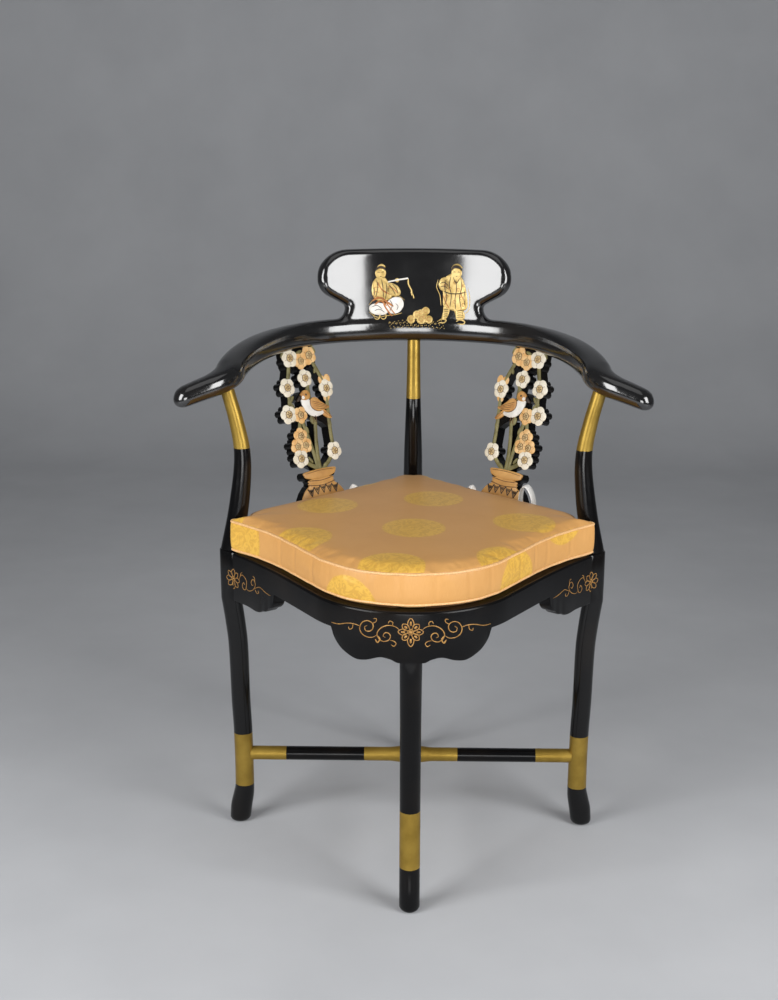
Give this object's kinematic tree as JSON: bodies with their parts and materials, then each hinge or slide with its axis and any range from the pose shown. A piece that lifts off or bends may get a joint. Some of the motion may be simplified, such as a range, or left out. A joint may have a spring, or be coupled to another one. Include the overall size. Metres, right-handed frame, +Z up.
{
  "type": "corner chair",
  "caption": "Lacquered corner chair with a bow-shaped arm rail, shaped headrest, openwork splats, crossed stretchers and a loose tied box cushion.",
  "frame": {"origin": "on the floor under the middle of the chair's box", "axes": "+Z up, +Y to the chair's back, +X to the right as seen from the front"},
  "size_m": [0.6808, 0.5792, 0.8516],
  "materials": {
    "lacquer": "gloss black lacquer with gold bands",
    "painted_carving": "painted carving",
    "bare_wood": "plain",
    "steel": "plain",
    "brocade": "satin brocade",
    "ribbon": "satin"
  },
  "bodies": {
    "chair": {"front_leg": "lacquer", "left_leg": "lacquer", "right_leg": "lacquer", "back_leg": "lacquer", "front_left_rail": "lacquer", "front_right_rail": "lacquer", "back_left_rail": "lacquer", "back_right_rail": "lacquer", "front_left_apron": "lacquer", "front_right_apron": "lacquer", "front_left_bracket": "lacquer", "front_right_bracket": "lacquer", "rear_left_bracket": "lacquer", "rear_right_bracket": "lacquer", "back_left_bracket": "lacquer", "back_right_bracket": "lacquer", "side_stretcher": "lacquer", "depth_stretcher": "lacquer", "left_arm": "lacquer", "right_arm": "lacquer", "crest": "lacquer", "left_arm_tenon": "bare_wood", "right_arm_tenon": "bare_wood", "left_splat": "painted_carving", "right_splat": "painted_carving", "seat_panel": "bare_wood", "front_corner_block": "bare_wood", "left_corner_block": "bare_wood", "right_corner_block": "bare_wood", "back_corner_block": "bare_wood", "corner_block_screws": "steel"},
    "cushion": {"cushion": "brocade", "left_tie": "ribbon", "right_tie": "ribbon"}
  },
  "joints": [
    {"name": "cushion_slide", "type": "slide", "parent": "chair", "child": "cushion", "axis": [0, -0.9903, 0.1392], "range_m": [0, 0.3]}
  ]
}
